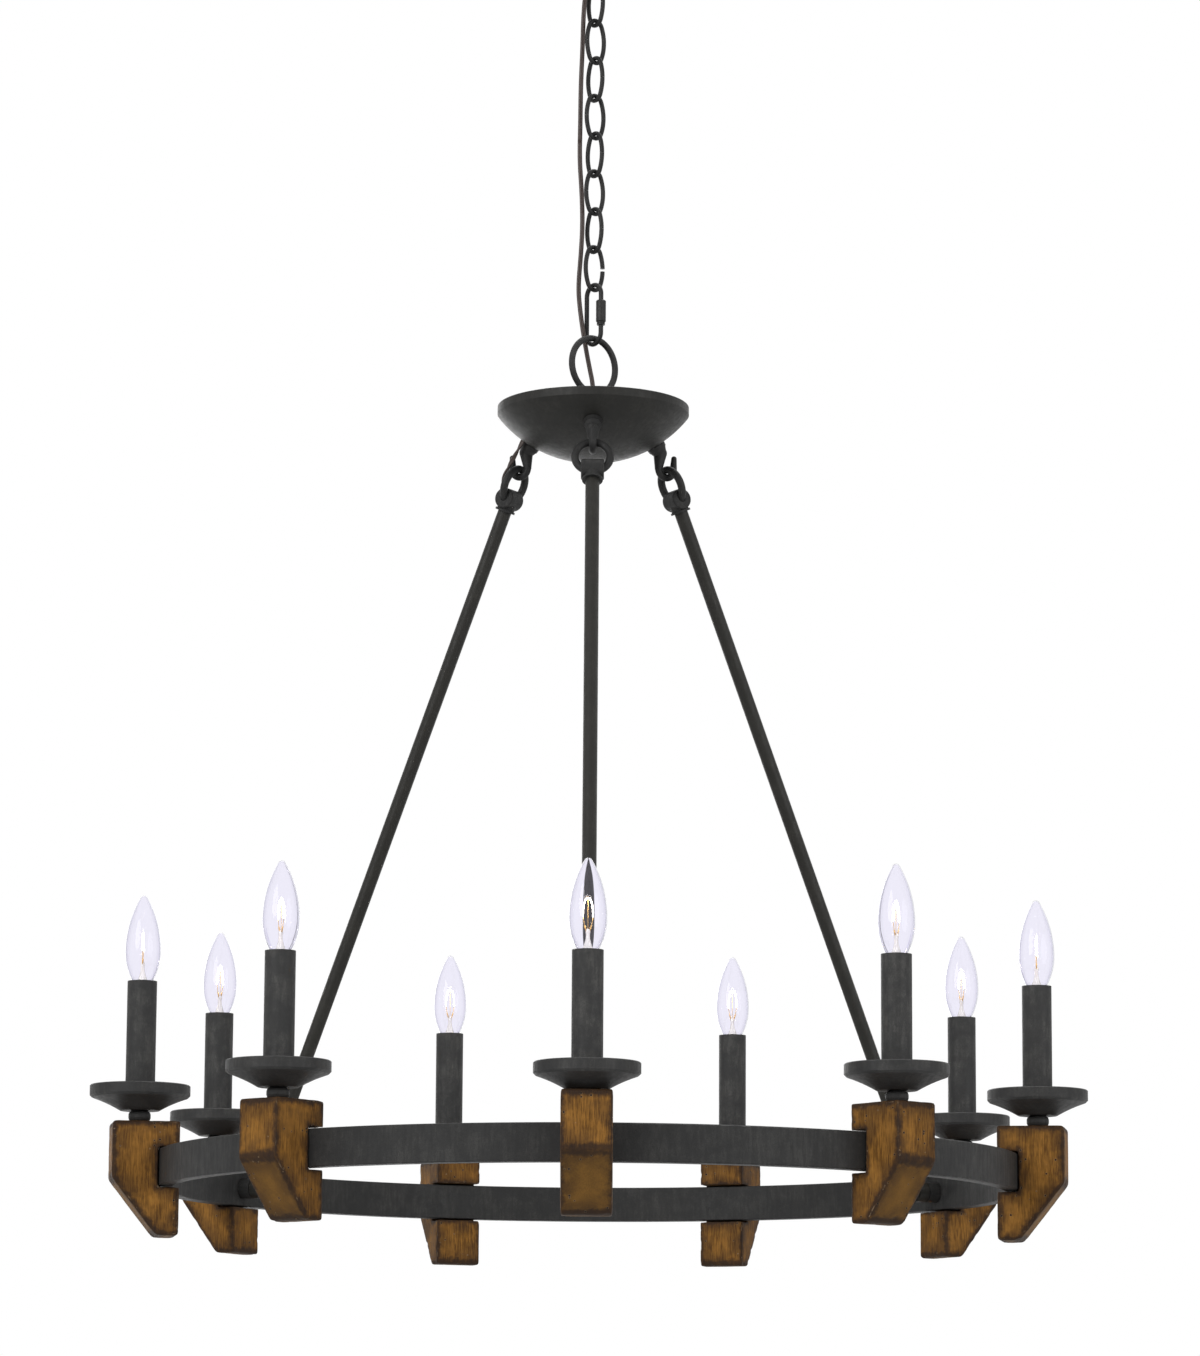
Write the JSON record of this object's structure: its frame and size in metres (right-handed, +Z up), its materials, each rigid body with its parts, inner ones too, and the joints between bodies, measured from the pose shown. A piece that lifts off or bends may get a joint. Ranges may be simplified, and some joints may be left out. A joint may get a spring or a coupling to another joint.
{
  "type": "wagon wheel chandelier",
  "caption": "Wagon wheel chandelier: an iron band carries wooden blocks with candle lights, and hangs by rods from a bowl hub on a chain.",
  "frame": {"origin": "centre of the two box-screw slots of the ceiling crossbar, on the ceiling plane", "axes": "+Z up, towards the ceiling; the light hangs along -Z; the front candle is towards -Y and the right side towards +X"},
  "size_m": [0.887, 0.8749, 1.2355],
  "materials": {
    "steel": "zinc-plated, dull",
    "black_metal": "matte charcoal black, lightly mottled",
    "black_iron": "matte charcoal black, lightly pitted",
    "connector_plastic": "matte",
    "cord_cover": "soft satin",
    "socket_plastic": "matte moulded",
    "wood": "golden brown stain, burnished dark at the edges",
    "bulb_glass": "clear"
  },
  "bodies": {
    "ceiling_fitting": {"ceiling_crossbar": "steel", "crossbar_nipple": "steel", "crossbar_nut": "steel", "canopy": "black_metal", "canopy_loop": "black_metal", "canopy_collar": "black_metal", "canopy_connectors": "connector_plastic"},
    "chain": {"chain_links": "black_metal", "quick_link": "black_metal", "supply_cord_upper": "cord_cover", "supply_cord_lower": "cord_cover"},
    "quick_link_nut": {"quick_link_nut": "black_metal"},
    "hub": {"hub_loop": "black_metal", "hub_cover": "black_metal", "hub_bowl": "black_metal", "hub_nuts": "steel", "hub_cover_screws": "black_metal", "hub_connectors": "connector_plastic", "hook_front": "black_iron", "hook_left": "black_iron", "hook_right": "black_iron", "left_rod_lead": "cord_cover"},
    "arm_front": {"ring_link_front": "black_iron", "rod_eye_front": "black_iron", "rod_front": "black_iron"},
    "arm_left": {"ring_link_left": "black_iron", "rod_eye_left": "black_iron", "rod_left": "black_iron"},
    "arm_right": {"ring_link_right": "black_iron", "rod_eye_right": "black_iron", "rod_right": "black_iron"},
    "wheel": {"band": "black_metal", "band_bosses": "black_metal", "pivot_bolts": "black_metal", "block_screws": "black_metal", "block_1": "wood", "block_2": "wood", "block_3": "wood", "block_4": "wood", "block_5": "wood", "block_6": "wood", "block_7": "wood", "block_8": "wood", "block_9": "wood", "neck_beads": "black_metal", "drip_pans": "black_metal", "pan_nuts": "steel", "candle_tubes": "steel", "candle_sleeves": "black_metal", "lamp_sockets": "socket_plastic", "band_wiring": "cord_cover"},
    "bulb_1": {"bulb_1": "bulb_glass"},
    "bulb_2": {"bulb_2": "bulb_glass"},
    "bulb_3": {"bulb_3": "bulb_glass"},
    "bulb_4": {"bulb_4": "bulb_glass"},
    "bulb_5": {"bulb_5": "bulb_glass"},
    "bulb_6": {"bulb_6": "bulb_glass"},
    "bulb_7": {"bulb_7": "bulb_glass"},
    "bulb_8": {"bulb_8": "bulb_glass"},
    "bulb_9": {"bulb_9": "bulb_glass"}
  },
  "joints": [
    {"name": "chain_swing", "type": "hinge", "parent": "ceiling_fitting", "child": "chain", "pos_m": [0, 0, -0.06415], "axis": [0.7593, 0.6508, 0], "range_deg": [-8, 8], "deforming": ["supply_cord_upper"]},
    {"name": "fixture_swing", "type": "hinge", "parent": "chain", "child": "hub", "pos_m": [0, 0, -0.40615], "axis": [0.6508, -0.7593, 0], "range_deg": [-8, 8], "deforming": ["supply_cord_lower"]},
    {"name": "quick_link_nut_up", "type": "slide", "parent": "chain", "child": "quick_link_nut", "axis": [0, 0, 1], "range_m": [0, 0.006]},
    {"name": "wheel_twist", "type": "hinge", "parent": "hub", "child": "wheel", "pos_m": [0, 0, -0.52375], "axis": [0, 0, 1], "range_deg": [-2, 2], "stiffness_Nm_per_rad": 2.8},
    {"name": "arm_front_swing", "type": "hinge", "parent": "hub", "child": "arm_front", "pos_m": [0, -0.0783, -0.52375], "axis": [0, -1, 0], "range_deg": [-1.3, 1.3]},
    {"name": "arm_left_swing", "type": "hinge", "parent": "hub", "child": "arm_left", "pos_m": [-0.06781, 0.03915, -0.52375], "axis": [-0.866, 0.5, 0], "range_deg": [-1.3, 1.3], "deforming": ["left_rod_lead"]},
    {"name": "arm_right_swing", "type": "hinge", "parent": "hub", "child": "arm_right", "pos_m": [0.06781, 0.03915, -0.52375], "axis": [0.866, 0.5, 0], "range_deg": [-1.3, 1.3]},
    {"name": "bulb_1_turn", "type": "hinge", "parent": "wheel", "child": "bulb_1", "pos_m": [0, -0.405, -1.0168], "axis": [0, 0, 1], "range_deg": [0, 1440]},
    {"name": "bulb_2_turn", "type": "hinge", "parent": "wheel", "child": "bulb_2", "pos_m": [0.26033, -0.31025, -1.0168], "axis": [0, 0, 1], "range_deg": [0, 1440]},
    {"name": "bulb_3_turn", "type": "hinge", "parent": "wheel", "child": "bulb_3", "pos_m": [0.39885, -0.07033, -1.0168], "axis": [0, 0, 1], "range_deg": [0, 1440]},
    {"name": "bulb_4_turn", "type": "hinge", "parent": "wheel", "child": "bulb_4", "pos_m": [0.35074, 0.2025, -1.0168], "axis": [0, 0, 1], "range_deg": [0, 1440]},
    {"name": "bulb_5_turn", "type": "hinge", "parent": "wheel", "child": "bulb_5", "pos_m": [0.13852, 0.38058, -1.0168], "axis": [0, 0, 1], "range_deg": [0, 1440]},
    {"name": "bulb_6_turn", "type": "hinge", "parent": "wheel", "child": "bulb_6", "pos_m": [-0.13852, 0.38058, -1.0168], "axis": [0, 0, 1], "range_deg": [0, 1440]},
    {"name": "bulb_7_turn", "type": "hinge", "parent": "wheel", "child": "bulb_7", "pos_m": [-0.35074, 0.2025, -1.0168], "axis": [0, 0, 1], "range_deg": [0, 1440]},
    {"name": "bulb_8_turn", "type": "hinge", "parent": "wheel", "child": "bulb_8", "pos_m": [-0.39885, -0.07033, -1.0168], "axis": [0, 0, 1], "range_deg": [0, 1440]},
    {"name": "bulb_9_turn", "type": "hinge", "parent": "wheel", "child": "bulb_9", "pos_m": [-0.26033, -0.31025, -1.0168], "axis": [0, 0, 1], "range_deg": [0, 1440]}
  ],
  "couplings": [
    {"joint": "arm_front_swing", "follows": "wheel_twist", "ratio": 0.5483},
    {"joint": "arm_left_swing", "follows": "wheel_twist", "ratio": 0.5483},
    {"joint": "arm_right_swing", "follows": "wheel_twist", "ratio": 0.5483}
  ]
}
